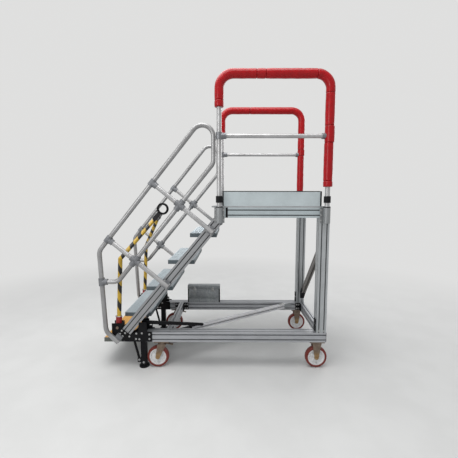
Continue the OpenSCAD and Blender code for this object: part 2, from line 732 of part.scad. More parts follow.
base_rails();
base_cross_beams();
base_brace();
uprights();
rear_brace();
platform_beams();
platform_floor();
toe_boards();
toe_board_ends();
stringers();
stringer_heads();
treads();
first_tread();
handrail_near();
handrail_far();
handrail_struts();
rail_clamps();
guardrail_near();
guardrail_far();
knee_rails();
foam_sleeve_near();
foam_sleeve_far();
post_sockets();
post_collars();
foot_plates();
step_arms();
tow_brackets();
tow_pins();
corner_brackets();
tool_box();
profile_caps();
castor_plates();
rear_forks();
swivel_fork_near();
swivel_fork_far();
tyre_front_near();
tyre_front_far();
tyre_rear_near();
tyre_rear_far();
hub_front_near();
hub_front_far();
hub_rear_near();
hub_rear_far();
tow_bar();
tow_ring();
tow_caps();
jack_leg_near();
jack_leg_far();
jack_lever();
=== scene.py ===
# %% [markdown]
# # Mobile aircraft stairs
#
# A wheeled stand with a stair flight and a railed platform. The metal frame comes from the CAD
# model and keeps its shape, so this lesson gives it its finishes, and adds what CAD leaves plain:
# the foam sleeves, the bolts, the tread knobs, the wheels' ribs and the small fittings.

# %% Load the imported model
import math

import bmesh
import bpy
import numpy as np
from mathutils import Matrix, Vector


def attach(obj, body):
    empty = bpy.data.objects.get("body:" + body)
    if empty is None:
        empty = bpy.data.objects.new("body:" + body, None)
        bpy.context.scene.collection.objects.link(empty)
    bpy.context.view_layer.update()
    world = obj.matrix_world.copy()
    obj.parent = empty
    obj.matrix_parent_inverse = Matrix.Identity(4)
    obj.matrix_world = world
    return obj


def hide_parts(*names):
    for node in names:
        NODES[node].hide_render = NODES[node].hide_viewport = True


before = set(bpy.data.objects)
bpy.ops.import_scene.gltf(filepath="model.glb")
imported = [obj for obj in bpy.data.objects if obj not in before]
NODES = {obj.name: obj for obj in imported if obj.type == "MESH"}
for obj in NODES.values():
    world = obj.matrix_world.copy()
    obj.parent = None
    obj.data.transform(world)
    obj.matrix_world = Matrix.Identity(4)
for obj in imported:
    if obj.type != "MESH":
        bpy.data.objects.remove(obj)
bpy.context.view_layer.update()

def linked(name, data):
    """A new object of the scene, made of the data."""
    made = bpy.data.objects.new(name, data)
    bpy.context.collection.objects.link(made)
    return made

# %% [markdown]
# ## The camera first
#
# A likeness is judged through the photograph's own camera, so it comes before any piece. Its place
# and lens were solved from known sizes: the slots of the near and the far upright stand 45 mm
# apart, which gives the distance to each, and the wheels' contacts with the floor give the tilt.

# %% Camera
CAMERA_AT = (0.1425, -3.0277, 1.5349)
CAMERA_PITCH, CAMERA_YAW, CAMERA_ROLL = (math.radians(a) for a in (5.27, 0.17, 0.11))
PHOTO_SIZE = 458
FOCAL_PIXELS = 292.5

def camera_axes(pitch, yaw, roll):
    """Right, up and backward vectors of a camera that looks along +Y, tilted down by pitch, turned
    left by yaw, and rolled about its own axis."""
    look = np.array([-math.sin(yaw) * math.cos(pitch), math.cos(yaw) * math.cos(pitch),
                     -math.sin(pitch)])
    right = np.array([math.cos(yaw), math.sin(yaw), 0.0])
    up = np.cross(right, look)
    turned_right = math.cos(roll) * right + math.sin(roll) * up
    return turned_right, math.cos(roll) * up - math.sin(roll) * right, -look

lens_data = bpy.data.cameras.new("photo_camera")
lens_data.sensor_width = 36.0
lens_data.lens = FOCAL_PIXELS * lens_data.sensor_width / PHOTO_SIZE
camera = linked("photo_camera", lens_data)
right_up_back = [Vector(axis) for axis in camera_axes(CAMERA_PITCH, CAMERA_YAW, CAMERA_ROLL)]
camera.matrix_world = Matrix.Translation(CAMERA_AT) @ Matrix(right_up_back).transposed().to_4x4()
bpy.context.scene.camera = camera
print("camera lens", round(lens_data.lens, 2), "mm at", CAMERA_AT)

# %% [markdown]
# ## Shader maths as Python
#
# A material is a graph of nodes. Written out link by link it hides its own idea, so one small
# class wraps a socket: `+ - * /` on it add the Math node. `Graph.node` adds any other node.

# %% Wires and finishes
class Wire:
    """A socket of numbers; arithmetic on it adds Math nodes to its graph."""

    def __init__(self, graph, socket):
        self.graph = graph
        self.socket = socket

    def maths(self, operation, *others):
        """A Math node with this wire as its first value."""
        return self.graph.node("Math", dict(enumerate((self, *others))), operation=operation)

    def size(self):
        """The value without its sign."""
        return self.maths("ABSOLUTE")

    def __add__(self, other):
        return self.maths("ADD", other)

    def __sub__(self, other):
        return self.maths("SUBTRACT", other)

    def __mul__(self, other):
        return self.maths("MULTIPLY", other)

    def __truediv__(self, other):
        return self.maths("DIVIDE", other)


class Graph:
    """A tree of shader nodes."""

    def __init__(self, tree):
        self.tree = tree

    def node(self, kind, inputs, out=0, **settings):
        """Adds a node: its settings first, then its sockets' values or links. Returns one output."""
        made = self.tree.nodes.new("ShaderNode" + kind)
        for name, value in settings.items():
            setattr(made, name, value)
        for key, value in inputs.items():
            self.put(made.inputs[key], value)
        return Wire(self, made.outputs[out])

    def put(self, socket, value):
        """Links a wire to a socket, or sets the socket's own value."""
        if isinstance(value, Wire):
            self.tree.links.new(value.socket, socket)
        else:
            socket.default_value = value


class Finish(Graph):
    """A node material with one Principled shader."""

    def __init__(self, name, **fixed):
        self.material = bpy.data.materials.new(name)
        self.material.use_nodes = True
        super().__init__(self.material.node_tree)
        self.shader = self.tree.nodes["Principled BSDF"]
        for socket, value in fixed.items():
            self.shader.inputs[socket.replace("_", " ")].default_value = value
        self.place = self.node("TexCoord", {}, "Object")

    def set(self, **values):
        for name, value in values.items():
            self.put(self.shader.inputs[name.replace("_", " ")], value)
        return self

    def axes(self):
        """The three object coordinates, each as a wire."""
        split = self.node("SeparateXYZ", {"Vector": self.place}).socket.node
        return [Wire(self, split.outputs[axis]) for axis in "XYZ"]

    def noise(self, scale=1.0, detail=4.0, rough=0.5, vector=None):
        return self.node("TexNoise", {
            "Vector": vector or self.place, "Scale": scale, "Detail": detail, "Roughness": rough})

    def lines(self, along, fine, long, detail, slope=0.0):
        """Noise of scale `fine`, drawn out to scale `long` along axis number `along`. The object
        coordinates are turned by slope about Y first."""
        scale = [fine] * 3
        scale[along] = long
        turned = self.node("VectorRotate", {"Vector": self.place, "Rotation": (0.0, slope, 0.0)},
                           rotation_type="EULER_XYZ")
        drawn = self.node("VectorMath", {0: turned, 1: scale}, operation="MULTIPLY")
        return self.noise(1.0, detail, 0.6, drawn)

    def ramp(self, value, *stops):
        """A colour ramp from (place, colour) stops."""
        made = self.tree.nodes.new("ShaderNodeValToRGB")
        ends = made.color_ramp.elements
        while len(ends) < len(stops):
            ends.new(0.5)
        for end, (place, colour) in zip(ends, stops):
            end.position = place
            end.color = (*colour, 1.0)
        self.put(made.inputs["Fac"], value)
        return Wire(self, made.outputs["Color"])

    def grade(self, value, low, high, to_low=0.0, to_high=1.0):
        """Takes low..high to to_low..to_high, and holds the ends."""
        return self.node("MapRange", {
            "Value": value, "From Min": low, "From Max": high, "To Min": to_low, "To Max": to_high},
            interpolation_type="SMOOTHSTEP")

    def mix(self, factor, a, b):
        """Colour a where factor is 0 and b where it is 1."""
        a, b = (colour if isinstance(colour, Wire) else (*colour, 1.0) for colour in (a, b))
        return self.node("Mix", {0: factor, 6: a, 7: b}, 2, data_type="RGBA")

    def bump(self, height, strength, distance):
        return self.set(Normal=self.node("Bump", {
            "Height": height, "Strength": strength, "Distance": distance}, "Normal"))


def shade(finish, *names):
    """Gives CAD nodes their finish."""
    for name in names:
        for material_slot in NODES[name].material_slots:
            material_slot.material = finish.material

print("shader helpers ready")

# %% [markdown]
# ## Aluminium: extruded, drawn and anodised
#
# Slotted profile leaves its die with fine lines along its length, and the anodic layer makes it a
# soft grey with a low sheen. The lines are noise stretched along the bar, so each direction
# of bar has its own finish. Handling adds paler scuffs and a little grime.

# %% Anodised profile
# Measures of the CAD model, in metres
FRONT = -1.048
REAR = 1.024
SIDE = 0.450
INNER = 0.360
RAIL_MIDDLE = 0.405
RAIL_Z, RAIL_TOP = 0.300, 0.345
BEAM_Z = 1.442
UPRIGHT_X = 0.979
RISE, RUN = 0.250, 0.206
NOSE_TO_STRINGER = 0.125
LIGHT_HALF = 0.0225
SIDES = (("near", -1.0), ("far", 1.0))
STAIR_SLOPE = math.atan2(RISE, RUN)
STAIR_WAY = np.array([math.cos(STAIR_SLOPE), math.sin(STAIR_SLOPE)])
STAIR_UP = np.array([-math.sin(STAIR_SLOPE), math.cos(STAIR_SLOPE)])
STAIR_FOOT = np.array([FRONT, RISE]) - NOSE_TO_STRINGER * STAIR_UP

def line_way(a, b):
    """Direction from a to b, of length 1."""
    return (b - a) / np.linalg.norm(b - a)

BRACE_A, BRACE_B = np.array([FRONT + 0.820, -0.312]), np.array([FRONT + 1.818, 0.312])
REAR_A, REAR_B = np.array([0.310, 0.500]), np.array([-0.310, 1.130])
BRACE_WAY, REAR_WAY = line_way(BRACE_A, BRACE_B), line_way(REAR_A, REAR_B)

def slot_shadow(finish, u, v, half=0.045):
    """1 deep in a profile's slots. u and v are the distances from the bar's middle along two sides
    of its square section. A slot is 8 mm wide as seen, in the middle of each 45 mm of face."""
    def slots_along(w, depth):
        off_slot = (w.size() - (half - LIGHT_HALF)).size()
        in_slot = finish.grade(off_slot, 0.0040, 0.0048, 1.0, 0.0)
        return in_slot * finish.grade(depth.size(), half - 0.0025, half - 0.0009, 1.0, 0.0)
    return slots_along(u, v).maths("MAXIMUM", slots_along(v, u))

def drawn_metal(name, along, colour=(0.41, 0.42, 0.44), slope=0.0, slots=None):
    """Lines that run along axis number `along`, after a turn by slope about Y. `slots` takes the
    three coordinates to the u and v of the bar's section and to half of its side."""
    finish = Finish(name, Metallic=0.55)
    lines = finish.lines(along, 900.0, 5.0, 2.0, slope)
    patches = finish.noise(7.0, 5.0, 0.62)
    scuffs = finish.grade(finish.noise(38.0, 6.0, 0.7), 0.60, 0.72)
    grey = finish.ramp(patches * 0.7 + lines * 0.3, (0.30, [0.82 * c for c in colour]), (0.62, colour))
    skin = finish.mix(scuffs * 0.35, grey, [1.30 * c for c in colour])
    if slots:
        shadow = slot_shadow(finish, *slots(*finish.axes()))
        skin = finish.mix(shadow * 0.93, skin, (0.012, 0.012, 0.014))
    finish.set(Base_Color=skin, Roughness=lines * 0.10 + patches * 0.14 + 0.24)
    return finish.bump(lines, 0.10, 0.0004)

def off_middle(y):
    """Distance from the middle of the rail on the point's own side."""
    return y.size() - RAIL_MIDDLE

def off_line(a, way, u, v):
    """Distance of (u, v) from the line through a, in their plane."""
    return (v - float(a[1])) * float(way[0]) - (u - float(a[0])) * float(way[1])

# One anodised aluminium, given a tone part by part after how bright each part looks under the light:
# lit and shaded copies of one material. The base brace, lying face up to the lamps, is painted far
# lighter, and the rear brace, at the back, far darker: painted light and painted shade.
shade(drawn_metal("profile_along_x", 0, slots=lambda x, y, z: (z - RAIL_Z, off_middle(y))),
      "base_rails")
shade(drawn_metal("profile_along_y", 1), "base_cross_beams")
shade(drawn_metal("profile_along_z", 2, (0.42, 0.44, 0.45),
                  slots=lambda x, y, z: (x - UPRIGHT_X, off_middle(y))), "uprights")
shade(drawn_metal("profile_along_stairs", 0, (0.34, 0.345, 0.355), STAIR_SLOPE,
                  slots=lambda x, y, z: (off_line(STAIR_FOOT, STAIR_WAY, x, z), off_middle(y))),
      "stringers")
shade(drawn_metal("toe_board_metal", 0, (0.54, 0.605, 0.625)), "toe_boards")
shade(drawn_metal("platform_beam_metal", 0, (0.46, 0.52, 0.54),
                  slots=lambda x, y, z: (z - BEAM_Z, off_middle(y))), "platform_beams")
shade(drawn_metal("brace_metal", 0, (0.78, 0.78, 0.80), slots=lambda x, y, z: (
    off_line(BRACE_A, BRACE_WAY, x, y), z - (RAIL_TOP - LIGHT_HALF), LIGHT_HALF)), "base_brace")
shade(drawn_metal("rear_brace_metal", 2, (0.20, 0.185, 0.175), slots=lambda x, y, z: (
    off_line(REAR_A, REAR_WAY, y, z), x - (REAR - LIGHT_HALF), LIGHT_HALF)), "rear_brace")
shade(drawn_metal("socket_metal", 2, (0.27, 0.28, 0.285)), "post_sockets")
print("profiles finished")

# %% [markdown]
# ## Tube: handrails and guardrails
#
# The rails are drawn tube. The struts, guardrails and knee rails are painted lighter than the
# handrails: a lit copy of the same tube, painted light for the highlights on their upper sides. A
# round bar shows its finish as a soft streak, so the roughness changes slowly and the colour hardly
# at all.

# %% Rail tube and cast clamps
MID_PLATFORM = 0.5145
TUBE_SHOWS = 0.402

def matt_tube(name, tone, clamps=None):
    """Anodised tube: grey smears and a fine grain. Near the posts it takes the colour of the cast
    clamps, where `clamps` gives one."""
    finish = Finish(name, Metallic=0.55)
    smears = finish.noise(9.0, 5.0, 0.6)
    grain = finish.noise(420.0, 2.0)
    grey = finish.ramp(smears, (0.30, [tone * k for k in (0.80, 0.79, 0.79)]),
                       (0.70, [tone * k for k in (1.12, 1.12, 1.13)]))
    if clamps:
        off_centre = (finish.axes()[0] - MID_PLATFORM).size()
        at_post = finish.grade(off_centre, TUBE_SHOWS, TUBE_SHOWS + 0.001)
        grey = finish.mix(at_post, grey, clamps)
    finish.set(Base_Color=grey, Roughness=smears * 0.14 + grain * 0.08 + 0.20)
    return finish.bump(grain, 0.03, 0.0001)

def cast_grey():
    """Die-cast clamps: a dull, slightly pitted skin with patches of darker grey."""
    finish = Finish("cast_clamp", Metallic=0.35)
    pits = finish.noise(260.0, 3.0, 0.7)
    stains = finish.noise(24.0, 5.0, 0.6)
    grey = finish.ramp(stains, (0.30, (0.13, 0.135, 0.145)), (0.70, (0.21, 0.215, 0.225)))
    finish.set(Base_Color=grey, Roughness=pits * 0.2 + 0.42)
    return finish.bump(pits, 0.25, 0.0006)

# One tube in two tones: the lighter tone of the struts, guardrails and knee rails is painted light, a
# lit copy of the handrails' tube.
shade(matt_tube("stair_rail_tube", 0.315), "handrail_near", "handrail_far")
shade(matt_tube("strut_tube", 0.42), "handrail_struts")
shade(matt_tube("guard_rail_tube", 0.42), "guardrail_near", "guardrail_far")
shade(matt_tube("knee_rail_tube", 0.42, (0.17, 0.175, 0.185)), "knee_rails")
shade(cast_grey(), "stringer_heads", "rail_clamps")
print("tube and castings finished")

# %% [markdown]
# ## Painted and plated steel
#
# The brackets, jacks and tow fittings are black powder coat, a fine orange peel that is worn grey
# where it gets knocked. The castor forks are yellow zinc: thin, metallic and mottled.

# %% Powder coat, zinc and sheet metal
SHOE_X, SHOE_HALF = FRONT + 1.860, 0.070

def powder_coat(name, colour=(0.0060, 0.0060, 0.0072), worn=(0.050, 0.048, 0.046), grain=330.0,
                shine=0.10, bare=None):
    """Paint with a fine grain; `bare` gives 1 where the steel is left unpainted."""
    finish = Finish(name, Metallic=0.0, Specular_IOR_Level=shine)
    peel = finish.noise(grain, 2.0, 0.5)
    dust = finish.noise(13.0, 6.0, 0.65)
    knocks = finish.grade(finish.noise(85.0, 7.0, 0.75), 0.66, 0.74)
    dusty = [0.85 * c + 0.004 for c in colour]
    ground = finish.ramp(dust, (0.35, colour), (0.75, dusty))
    if bare:
        ground = finish.mix(bare(finish), ground, (0.36, 0.37, 0.38))
    finish.set(Base_Color=finish.mix(knocks * 0.6, ground, worn), Roughness=dust * 0.22 + 0.34)
    return finish.bump(peel, 0.12, 0.0005)

def yellow_zinc():
    """Chromate film on steel: clouded gold near the wheel, and a grimy brown higher up."""
    finish = Finish("yellow_zinc", Metallic=0.45)
    clouds = finish.noise(30.0, 4.0, 0.6)
    fine = finish.noise(240.0, 3.0)
    height = finish.axes()[2]
    grime = finish.ramp(clouds, (0.30, (0.115, 0.080, 0.056)), (0.70, (0.22, 0.168, 0.128)))
    bare = finish.ramp(clouds, (0.30, (0.25, 0.145, 0.058)), (0.70, (0.38, 0.255, 0.12)))
    gold = finish.mix(finish.grade(height + clouds * 0.05, 0.125, 0.20), bare, grime)
    finish.set(Base_Color=gold, Roughness=fine * 0.16 + 0.30)
    return finish.bump(fine, 0.10, 0.0004)

def galvanised_sheet():
    """Zinc spangle: flat crystals, each with its own grey."""
    finish = Finish("galvanised_sheet", Metallic=0.55)
    crystals = finish.node("TexVoronoi", {"Vector": finish.place, "Scale": 55.0, "Randomness": 1.0},
                           "Color", feature="F1")
    cell = finish.node("SeparateColor", {"Color": crystals})
    streaks = finish.lines(2, 16.0, 3.0, 5.0)
    grey = finish.ramp(cell * 0.35 + streaks * 0.65,
                       (0.25, (0.22, 0.235, 0.245)), (0.75, (0.34, 0.36, 0.37)))
    finish.set(Base_Color=grey, Roughness=cell * 0.14 + 0.36)
    return finish.bump(streaks, 0.04, 0.001)

def brace_foot(finish):
    """1 on the shoe at the far rail, where the flat brace ends: it's bare metal."""
    x, y, z = finish.axes()
    near_shoe = finish.grade((x - SHOE_X).size(), SHOE_HALF, SHOE_HALF + 0.001, 1.0, 0.0)
    return near_shoe * finish.grade(y, 0.25, 0.26) * finish.grade(z, 0.295, 0.297)

black_steel = powder_coat("black_powder_coat")
black_plastic = powder_coat("black_plastic", (0.009, 0.009, 0.010), (0.03, 0.03, 0.03), 700.0)
zinc = yellow_zinc()
sheet = galvanised_sheet()
shade(powder_coat("corner_bracket_coat", bare=brace_foot), "corner_brackets")
shade(black_steel, "foot_plates", "tow_brackets", "jack_leg_near", "jack_leg_far", "jack_lever",
      "tow_ring")
shade(black_plastic, "toe_board_ends", "post_collars", "profile_caps")
shade(zinc, "castor_plates", "rear_forks", "swivel_fork_near", "swivel_fork_far", "tow_pins")
shade(sheet, "tool_box")
print("steel finished")

# %% [markdown]
# ## The hazard stripes of the tow bar
#
# The folded tow bar carries yellow and black tape, wound steeply round the tube. Bands are a
# repeating function of place: the height plus twice the distance along the machine, divided by
# one period, and its fraction is under 0.55 on yellow. Object coordinates keep them on the
# bar when it folds. Chips show the grey of the tube.

# %% Hazard stripes and red paint
STRIPE_PERIOD = 0.1825
STRIPE_START = 0.0113
YELLOW_PART = 0.55

def hazard_paint():
    finish = Finish("hazard_paint", Metallic=0.0)
    x, y, z = finish.axes()
    along = z + x * 2.0 + finish.noise(35.0) * 0.004 + STRIPE_START
    turns = along / STRIPE_PERIOD
    black_band = finish.grade(turns.maths("FRACT"), YELLOW_PART, YELLOW_PART + 0.01)
    chips = finish.grade(finish.noise(120.0, 7.0, 0.75), 0.68, 0.72)
    dirt = finish.noise(15.0, 5.0)
    yellow = finish.ramp(dirt, (0.30, (0.36, 0.22, 0.016)), (0.65, (0.56, 0.36, 0.028)))
    banded = finish.mix(black_band, yellow, (0.008, 0.007, 0.006))
    finish.set(Base_Color=finish.mix(chips * 0.6, banded, (0.20, 0.19, 0.17)),
               Roughness=dirt * 0.2 + 0.32)
    return finish.bump(chips, 0.2, 0.0004)

shade(hazard_paint(), "tow_bar")
shade(powder_coat("red_caps", (0.26, 0.010, 0.011), (0.16, 0.05, 0.04), shine=0.4), "tow_caps")
print("paint finished")

# %% [markdown]
# ## Treads and floor
#
# The treads are mill-finish planks: worn bright and bluish where shoes meet them. Their fronts,
# ends and undersides are painted a dark slate, painted shade of faces turned from the light. The
# height tells the two apart, because each tread's top lies at a multiple of the rise. The first
# tread wears yellow paint on top.

# %% Tread and floor metal
BELOW_TOP = 0.0025
CREST_Z = 0.0031
TOP_FROM, TOP_TO = 0.010, 0.012

def walked_metal(name, pale, worn, along=1, shaded_sides=None):
    """Brushed along one axis. Below each top, at multiples of the rise, it takes a darker colour:
    painted shade for the fronts, ends and undersides."""
    finish = Finish(name, Metallic=0.35)
    brushing = finish.lines(along, 160.0, 4.0, 3.0)
    steps = finish.noise(11.0, 6.0, 0.65)
    colour = finish.ramp(steps * 0.6 + brushing * 0.4, (0.32, worn), (0.66, pale))
    if shaded_sides:
        height = (finish.axes()[2] + BELOW_TOP) / RISE
        above = height.maths("FRACT") * RISE
        on_top = finish.grade(above, TOP_FROM, TOP_TO, 1.0, 0.0)
        crest = finish.grade(above, CREST_Z, CREST_Z + 0.0007) * 0.8
        # painted shade: the darker colour of the faces below each top
        painted_shade = finish.mix(steps * 0.5, shaded_sides, [0.7 * c for c in shaded_sides])
        polished = finish.mix(crest, colour, [min(1.0, 1.5 * c) for c in pale])
        colour = finish.mix(on_top, painted_shade, polished)
    finish.set(Base_Color=colour, Roughness=steps * 0.25 + 0.34)
    return finish.bump(brushing, 0.12, 0.0006)

# The colour given for the sides is painted shade on the treads' fronts, ends and undersides.
tread_metal = walked_metal("tread_metal", (0.37, 0.415, 0.44), (0.255, 0.29, 0.31),
                           shaded_sides=(0.100, 0.125, 0.138))
yellow_step = walked_metal("step_yellow", (0.60, 0.34, 0.090), (0.47, 0.245, 0.06),
                           shaded_sides=(0.112, 0.122, 0.110))
shade(tread_metal, "treads")
shade(yellow_step, "first_tread")
shade(walked_metal("step_arm_metal", (0.125, 0.135, 0.122), (0.085, 0.093, 0.085), 0),
      "step_arms")
shade(walked_metal("floor_metal", (0.40, 0.41, 0.42), (0.26, 0.27, 0.28), 0), "platform_floor")
print("treads finished")

# %% [markdown]
# ## Wheels
#
# The tyres are cast polyurethane in a red brown, matt, with dust in the tread. The hubs are
# white nylon, slightly waxy. Both turn, so their patterns must sit in object coordinates.

# %% Tyre and hub
def cast_polyurethane():
    finish = Finish("tyre_polyurethane", Metallic=0.0, Specular_IOR_Level=0.4)
    dust = finish.noise(26.0, 6.0, 0.7)
    grit = finish.noise(300.0, 3.0, 0.7)
    brown = finish.ramp(dust * 0.8 + grit * 0.2,
                        (0.34, (0.125, 0.011, 0.007)), (0.68, (0.20, 0.034, 0.022)))
    finish.set(Base_Color=brown, Roughness=dust * 0.25 + 0.42)
    return finish.bump(grit, 0.15, 0.0008)

def white_nylon():
    finish = Finish("hub_nylon", Metallic=0.0)
    grime = finish.grade(finish.noise(34.0, 6.0, 0.7), 0.45, 0.75)
    finish.set(Base_Color=finish.mix(grime * 0.6, (0.68, 0.68, 0.68), (0.40, 0.37, 0.34)),
               Roughness=grime * 0.2 + 0.36)
    return finish.bump(grime, 0.05, 0.0006)

tyre_finish = cast_polyurethane()
hub_finish = white_nylon()
for corner in ("front_near", "front_far", "rear_near", "rear_far"):
    shade(tyre_finish, "tyre_" + corner)
    shade(hub_finish, "hub_" + corner)
print("wheels finished")

# %% [markdown]
# ## Meshes from arrays
#
# Every new piece is a grid of points or many copies of one small template. Points are whole
# numpy arrays; faces are index tables. One function puts them into a mesh that rides on a body.

# %% Mesh helpers
def stack_faces(rows, columns):
    """Quads between rings of `columns` points, and one face over the last ring and the first."""
    i, j = np.meshgrid(np.arange(rows - 1), np.arange(columns), indexing="ij")
    right = (j + 1) % columns
    quads = np.stack([i * columns + j, i * columns + right, (i + 1) * columns + right,
                      (i + 1) * columns + j], axis=-1).reshape(-1, 4)
    first_ring = list(range(columns))
    last_ring = [(rows - 1) * columns + k for k in first_ring]
    return quads.tolist() + [last_ring, first_ring[::-1]]

def merged(parts):
    """One (points, faces) out of many."""
    points, faces, start = [], [], 0
    for part_points, part_faces in parts:
        points.append(np.asarray(part_points, float).reshape(-1, 3))
        faces += [[int(v) + start for v in face] for face in part_faces]
        start += len(points[-1])
    return np.concatenate(points), faces

def piece(name, parts, body, finish, smooth=True):
    """A mesh object from (points, faces) parts, riding on a body. Normals are made to face out."""
    points, faces = merged(parts)
    mesh = bpy.data.meshes.new(name)
    mesh.from_pydata(points.tolist(), [], faces)
    loose = bmesh.new()
    loose.from_mesh(mesh)
    bmesh.ops.recalc_face_normals(loose, faces=loose.faces)
    loose.to_mesh(mesh)
    loose.free()
    mesh.polygons.foreach_set("use_smooth", [smooth] * len(mesh.polygons))
    mesh.materials.append(finish.material)
    made = linked(name, mesh)
    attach(made, body)
    print(name, len(mesh.polygons), "faces")
    return made

def frame_of(normal):
    """Three axes as columns, the third along normal."""
    n = np.asarray(normal, float) / np.linalg.norm(normal)
    helper = np.array([0.0, 0.0, 1.0]) if abs(n[2]) < 0.9 else np.array([1.0, 0.0, 0.0])
    u = np.cross(helper, n)
    u /= np.linalg.norm(u)
    return np.stack([u, np.cross(n, u), n], axis=1)

def placed(template, at, normal, size=1.0, spin=0.0):
    """A template of (points, faces) scaled, spun about its own axis, stood on `at` along normal."""
    points, faces = template
    c, s = math.cos(spin), math.sin(spin)
    spun = points @ np.array([[c, s, 0.0], [-s, c, 0.0], [0.0, 0.0, 1.0]])
    return (spun * size) @ frame_of(normal).T + np.asarray(at, float), faces

def turned(radii, heights, count=24):
    """A solid of revolution about Z: ring k has radius radii[k] at heights[k]; both ends are closed."""
    angle = np.arange(count) * (2 * math.pi / count)
    circle = np.stack([np.cos(angle), np.sin(angle)], axis=1)
    rings = [np.column_stack([circle * r, np.full(count, h)]) for r, h in zip(radii, heights)]
    return np.concatenate(rings), stack_faces(len(radii), count)

def plate(outline, low, high, axis=1, bevel=0.0008):
    """A flat plate: the outline of (a, b) points, between low and high along an axis. Both rims are
    drawn in towards the middle by 1.4 bevels."""
    flat = np.asarray(outline, float)
    inward = flat.mean(axis=0) - flat
    inner = flat + inward / np.linalg.norm(inward, axis=1)[:, None] * bevel * 1.4
    rings = [(inner, low), (flat, low + bevel), (flat, high - bevel), (inner, high)]
    points = np.concatenate([np.insert(ring, axis, level, axis=1) for ring, level in rings])
    return points, stack_faces(4, len(flat))

def oblong(a0, a1, b0, b1, corner):
    """Outline of a rectangle with round corners: a quarter circle of three parts at each."""
    quarter = np.linspace(0.0, math.pi / 2, 4)
    corners = [(a1 - corner, b1 - corner, 0.0), (a0 + corner, b1 - corner, math.pi / 2),
               (a0 + corner, b0 + corner, math.pi), (a1 - corner, b0 + corner, 1.5 * math.pi)]
    return np.concatenate([np.column_stack([a + corner * np.cos(quarter + start),
                                            b + corner * np.sin(quarter + start)])
                           for a, b, start in corners])

print("mesh helpers ready")

# %% [markdown]
# ## Bolts
#
# A bolted stand shows hundreds of hexagon heads on washers. One template of a washer and a
# chamfered head is worked out once, in units of the head's radius, and copied to every place.

# %% Bolt template
WASHER = turned([1.45, 1.45, 1.35], [-0.05, 0.16, 0.22], 16)
HEXAGON = turned([1.0, 1.0, 0.84], [0.1, 0.66, 0.80], 6)
BOSS = turned([0.45, 0.45], [0.78, 0.84], 10)
BOLT = merged([WASHER, HEXAGON, BOSS])

def bright_zinc():
    """Zinc-plated steel: bluish, with handling marks."""
    finish = Finish("bright_zinc", Metallic=0.7)
    marks = finish.noise(150.0, 4.0, 0.6)
    grey = finish.ramp(marks, (0.3, (0.30, 0.305, 0.31)), (0.7, (0.46, 0.46, 0.455)))
    finish.set(Base_Color=grey, Roughness=marks * 0.2 + 0.22)
    return finish.bump(marks, 0.08, 0.0003)

bolt_metal = bright_zinc()

def bolts(name, places, body, size):
    """places holds (point, normal) pairs; size is a head's radius. Each head is spun a little
    further than the one before, as fitted by hand."""
    parts = [placed(BOLT, at, normal, size, 0.7 * k) for k, (at, normal) in enumerate(places)]
    piece(name, parts, body, bolt_metal, smooth=False)

def on_face(y, facing, spots):
    """Places at (x, z) spots on an upright face at y, which faces along -Y or +Y."""
    return [((x, y, z), (0.0, facing, 0.0)) for x, z in spots]

def mirrored(places):
    """Each place and its twin on the far side."""
    return places + [((x, -y, z), (nx, -ny, nz)) for (x, y, z), (nx, ny, nz) in places]

print("bolt template", len(BOLT[1]), "faces")

# %% [markdown]
# ## Where the bolts go
#
# The near foot plate shows eleven heads in the photograph: five at the stringer's foot, four about
# the jack and two at the rail's end. The table gives each as the distance from the machine's
# front end and the height, in metres. The other places follow the parts.

# %% Foot plate bolts
PLATE_FACE = 0.458
INNER_FACE = INNER - 0.008
FOOT_BOLTS = [(0.2065, 0.364), (0.190, 0.334), (0.236, 0.341), (0.213, 0.311), (0.274, 0.309),
              (0.338, 0.337), (0.389, 0.339), (0.334, 0.285), (0.365, 0.283),
              (0.457, 0.329), (0.457, 0.286)]
foot_spots = [(FRONT + f, z) for f, z in FOOT_BOLTS]
foot_places = on_face(-PLATE_FACE, -1.0, foot_spots) + on_face(-INNER_FACE, 1.0, foot_spots[:9])
bolts("foot_plate_bolts", mirrored(foot_places), "frame", 0.0062)

# %% Bolts along the stairs and the platform
STRUT_PLATE_Y, HEAD_PLATE_Y, SOCKET_Y = -0.480, -0.447, -0.459

def on_stair(t, n):
    """x and z of a point t along the stringer's lower reach and n above its middle line."""
    return STAIR_FOOT + t * STAIR_WAY + n * STAIR_UP

strut_spots = [on_stair(t + along, above) for t in (0.816, 1.448)
               for along in (-0.0255, 0.0255) for above in (0.025, -0.029)]
head_spots = [on_stair(1.548, above) for above in (0.030, -0.022)]
bolts("stair_bolts", mirrored(on_face(STRUT_PLATE_Y, -1.0, strut_spots)
                              + on_face(HEAD_PLATE_Y, -1.0, head_spots)), "frame", 0.0044)
socket_spots = [(x, z) for x in (0.0135, 0.0865, 0.9425, 1.0155) for z in (1.376, 1.419, 1.464)]
bolts("socket_bolts", mirrored(on_face(SOCKET_Y, -1.0, socket_spots)), "frame", 0.0060)

